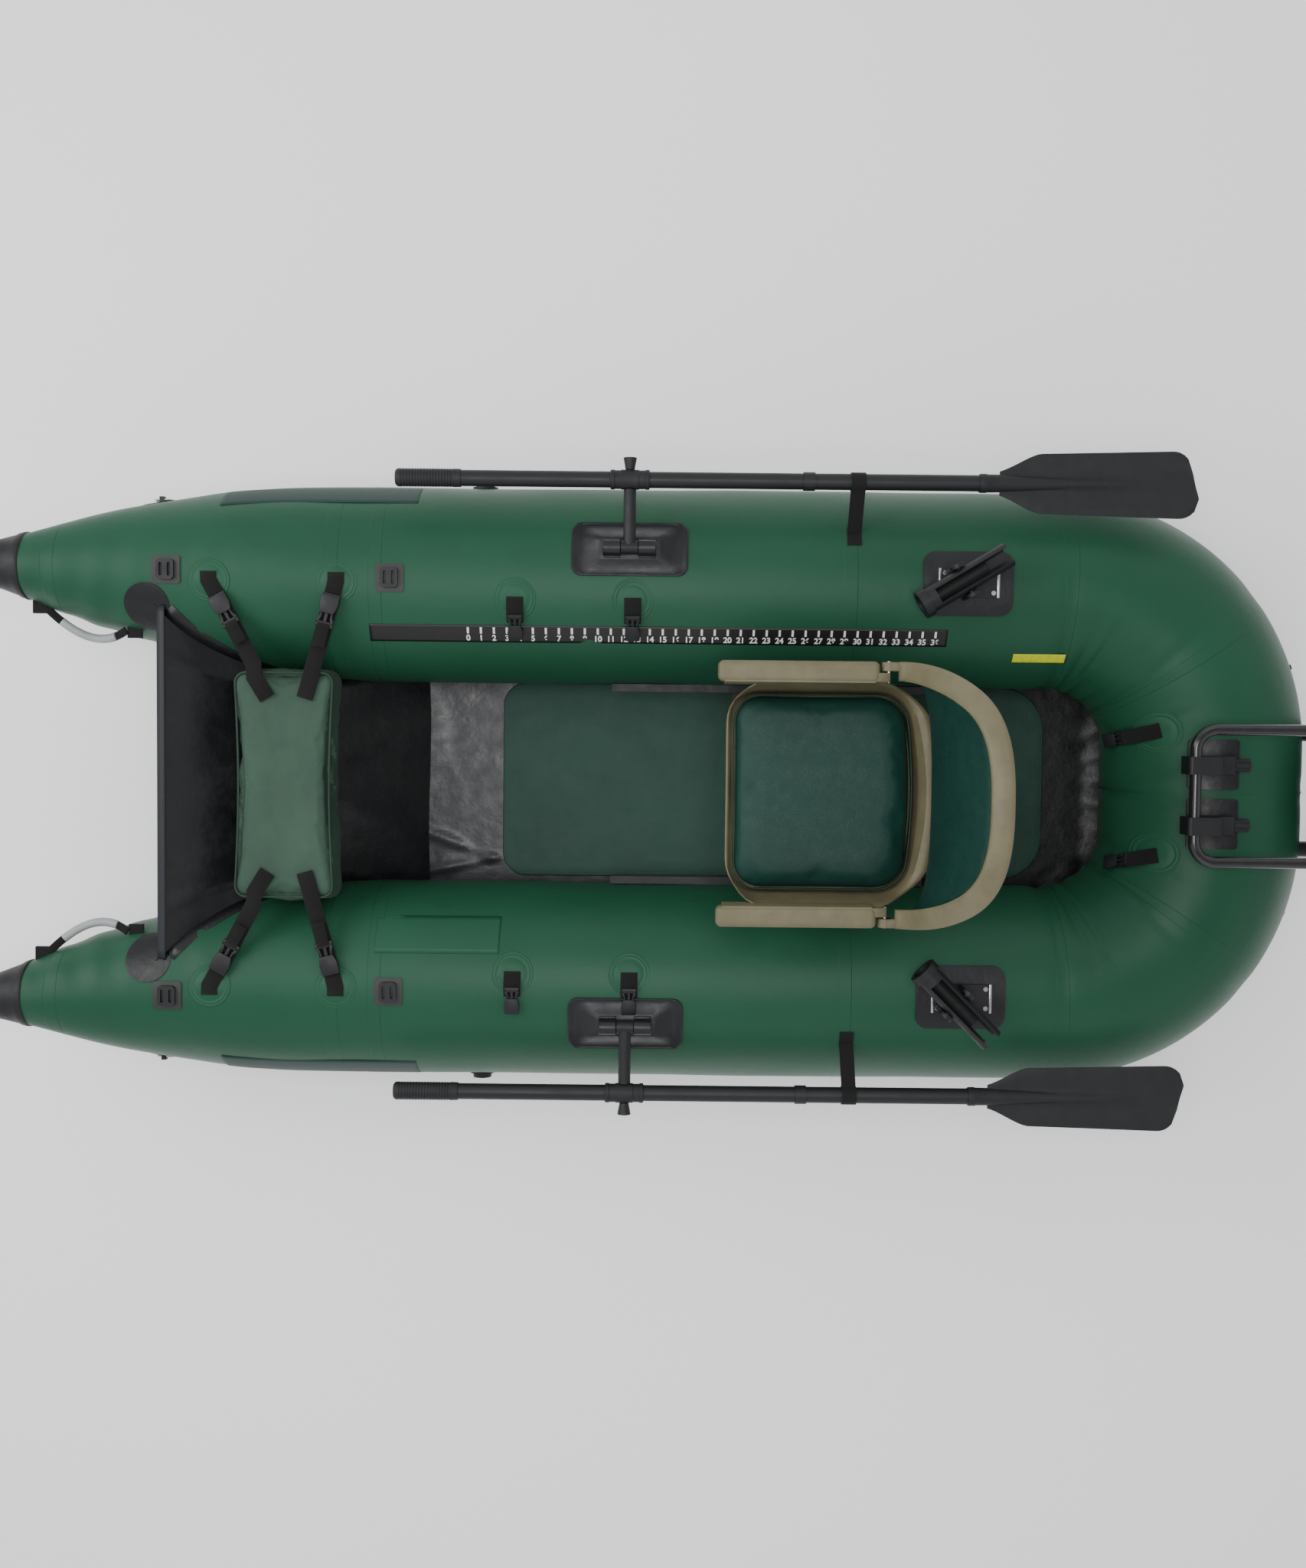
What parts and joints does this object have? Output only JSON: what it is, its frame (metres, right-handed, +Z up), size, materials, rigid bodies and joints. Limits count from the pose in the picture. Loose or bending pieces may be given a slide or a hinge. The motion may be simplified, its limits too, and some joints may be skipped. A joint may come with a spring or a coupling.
{
  "type": "inflatable fishing boat",
  "caption": "U-shaped inflatable pontoon fishing boat with pointed bow cones, swivel armchair seat, stowed oars, rod holders, stowage bag and motor mount.",
  "frame": {"origin": "middle of the overall length and width, on the surface that the tubes lie on", "axes": "+X aft, +Y starboard, +Z up"},
  "size_m": [2.83, 1.315, 0.8415],
  "materials": {
    "hull_pvc": "satin",
    "black_pvc": "satin",
    "deck_foam": "matte",
    "bag_nylon": "matte",
    "webbing": "matte",
    "black_plastic": "satin",
    "grey_plastic": "satin",
    "grey_sleeve": "satin",
    "tan_plastic": "satin",
    "seat_vinyl": "satin",
    "steel": "satin",
    "black_steel": "gloss",
    "black_aluminium": "satin",
    "printed_vinyl": "satin"
  },
  "bodies": {
    "hull": {"starboard_chamber": "hull_pvc", "port_chamber": "hull_pvc", "chamber_baffle": "hull_pvc", "nose_caps": "black_pvc", "valve_bodies": "black_plastic", "floor_sheet": "black_pvc", "bow_apron": "black_pvc", "apron_patches": "black_pvc", "floorboard": "deck_foam", "bench_rails": "black_plastic", "strap_patches": "hull_pvc", "webbing_straps": "webbing", "buckles": "black_plastic", "stowage_bag": "bag_nylon", "lash_pads": "grey_plastic", "lash_fittings": "black_plastic", "ring_patches": "black_pvc", "handle_anchors": "webbing", "ruler_decal": "printed_vinyl", "oarlock_pads": "black_plastic", "oar_straps": "webbing", "rod_pads": "black_pvc", "rod_brackets": "black_plastic", "bolts": "steel", "motor_pads": "black_pvc", "motor_clips": "black_plastic", "motor_frame": "black_steel", "motor_board": "black_plastic"},
    "bench": {"bench_board": "black_plastic", "pedestal": "black_aluminium"},
    "seat": {"swivel_plate": "black_steel", "seat_pan": "tan_plastic", "seat_hinge_pins": "steel", "seat_cushion": "seat_vinyl"},
    "seat_back": {"seat_back": "tan_plastic", "back_cushion": "seat_vinyl"},
    "starboard_bow_ring": {"starboard_bow_ring": "steel"},
    "starboard_stern_ring": {"starboard_stern_ring": "steel"},
    "starboard_grab_handle": {"starboard_grab_handle": "grey_sleeve"},
    "starboard_valve_cap": {"starboard_valve_cap": "black_plastic"},
    "starboard_oarlock_pin": {"starboard_oarlock_pin": "black_plastic"},
    "starboard_motor_knob": {"starboard_motor_knob": "black_plastic"},
    "starboard_rod_swivel": {"starboard_rod_swivel": "black_plastic"},
    "starboard_rod_cradle": {"starboard_rod_cradle": "black_plastic"},
    "starboard_oar": {"starboard_oar_grip": "black_plastic", "starboard_oar_shaft": "black_aluminium", "starboard_oar_sleeve": "black_plastic", "starboard_oar_blade": "black_plastic"},
    "port_bow_ring": {"port_bow_ring": "steel"},
    "port_stern_ring": {"port_stern_ring": "steel"},
    "port_grab_handle": {"port_grab_handle": "grey_sleeve"},
    "port_valve_cap": {"port_valve_cap": "black_plastic"},
    "port_oarlock_pin": {"port_oarlock_pin": "black_plastic"},
    "port_motor_knob": {"port_motor_knob": "black_plastic"},
    "port_rod_swivel": {"port_rod_swivel": "black_plastic"},
    "port_rod_cradle": {"port_rod_cradle": "black_plastic"},
    "port_oar": {"port_oar_grip": "black_plastic", "port_oar_shaft": "black_aluminium", "port_oar_sleeve": "black_plastic", "port_oar_blade": "black_plastic"}
  },
  "joints": [
    {"name": "bench_slide", "type": "slide", "parent": "hull", "child": "bench", "axis": [1, 0, 0], "range_m": [-0.16, 0.04]},
    {"name": "seat_swivel", "type": "hinge", "parent": "bench", "child": "seat", "pos_m": [0.3255, 0, 0.43], "axis": [0, 0, 1], "continuous": true},
    {"name": "seat_back_fold", "type": "hinge", "parent": "seat", "child": "seat_back", "pos_m": [0.4315, 0, 0.561], "axis": [0, -1, 0], "range_deg": [0, 85]},
    {"name": "starboard_bow_ring_swing", "type": "hinge", "parent": "hull", "child": "starboard_bow_ring", "pos_m": [-0.997, 0.56759, 0.25448], "axis": [1, 0, 0], "range_deg": [0, 170]},
    {"name": "starboard_stern_ring_swing", "type": "hinge", "parent": "hull", "child": "starboard_stern_ring", "pos_m": [1.30791, 0.25367, 0.1985], "axis": [0.3223, -0.9466, 0], "range_deg": [0, 170]},
    {"name": "starboard_handle_lift", "type": "hinge", "parent": "hull", "child": "starboard_grab_handle", "pos_m": [-1.21, 0.33558, 0.33], "axis": [-0.9659, 0.2588, 0], "range_deg": [0, 100]},
    {"name": "starboard_valve_cap_turn", "type": "hinge", "parent": "hull", "child": "starboard_valve_cap", "pos_m": [-0.35, 0.6025, 0.1985], "axis": [0, 1, 0], "continuous": true},
    {"name": "starboard_oarlock_fold", "type": "hinge", "parent": "hull", "child": "starboard_oarlock_pin", "pos_m": [-0.05, 0.464, 0.422], "axis": [1, 0, 0], "range_deg": [0, 90], "deforming": ["oar_straps"]},
    {"name": "starboard_oar_swing", "type": "hinge", "parent": "starboard_oarlock_pin", "child": "starboard_oar", "pos_m": [-0.05, 0.593, 0.422], "axis": [0, -1, 0], "range_deg": [0, 12], "deforming": ["oar_straps"]},
    {"name": "starboard_rod_turn", "type": "hinge", "parent": "hull", "child": "starboard_rod_swivel", "pos_m": [0.5845, 0.404, 0.417], "axis": [0, 0, 1], "range_deg": [-90, 90]},
    {"name": "starboard_rod_tilt", "type": "hinge", "parent": "starboard_rod_swivel", "child": "starboard_rod_cradle", "pos_m": [0.5845, 0.404, 0.475], "axis": [-0.515, 0.8572, 0], "range_deg": [0, 15]},
    {"name": "starboard_motor_knob_turn", "type": "hinge", "parent": "hull", "child": "starboard_motor_knob", "pos_m": [1.119, 0.058, 0.427], "axis": [1, 0, 0], "continuous": true},
    {"name": "port_bow_ring_swing", "type": "hinge", "parent": "hull", "child": "port_bow_ring", "pos_m": [-0.997, -0.56759, 0.25448], "axis": [-1, 0, 0], "range_deg": [0, 170]},
    {"name": "port_stern_ring_swing", "type": "hinge", "parent": "hull", "child": "port_stern_ring", "pos_m": [1.30791, -0.25367, 0.1985], "axis": [-0.3223, -0.9466, 0], "range_deg": [0, 170]},
    {"name": "port_handle_lift", "type": "hinge", "parent": "hull", "child": "port_grab_handle", "pos_m": [-1.21, -0.33558, 0.33], "axis": [0.9659, 0.2588, 0], "range_deg": [0, 100]},
    {"name": "port_valve_cap_turn", "type": "hinge", "parent": "hull", "child": "port_valve_cap", "pos_m": [-0.35, -0.6025, 0.1985], "axis": [0, 1, 0], "continuous": true},
    {"name": "port_oarlock_fold", "type": "hinge", "parent": "hull", "child": "port_oarlock_pin", "pos_m": [-0.05, -0.464, 0.422], "axis": [-1, 0, 0], "range_deg": [0, 90], "deforming": ["oar_straps"]},
    {"name": "port_oar_swing", "type": "hinge", "parent": "port_oarlock_pin", "child": "port_oar", "pos_m": [-0.05, -0.593, 0.422], "axis": [0, -1, 0], "range_deg": [0, 12], "deforming": ["oar_straps"]},
    {"name": "port_rod_turn", "type": "hinge", "parent": "hull", "child": "port_rod_swivel", "pos_m": [0.5845, -0.404, 0.417], "axis": [0, 0, -1], "range_deg": [-90, 90]},
    {"name": "port_rod_tilt", "type": "hinge", "parent": "port_rod_swivel", "child": "port_rod_cradle", "pos_m": [0.5845, -0.404, 0.475], "axis": [0.7071, 0.7071, 0], "range_deg": [0, 15]},
    {"name": "port_motor_knob_turn", "type": "hinge", "parent": "hull", "child": "port_motor_knob", "pos_m": [1.119, -0.058, 0.427], "axis": [-1, 0, 0], "continuous": true}
  ]
}
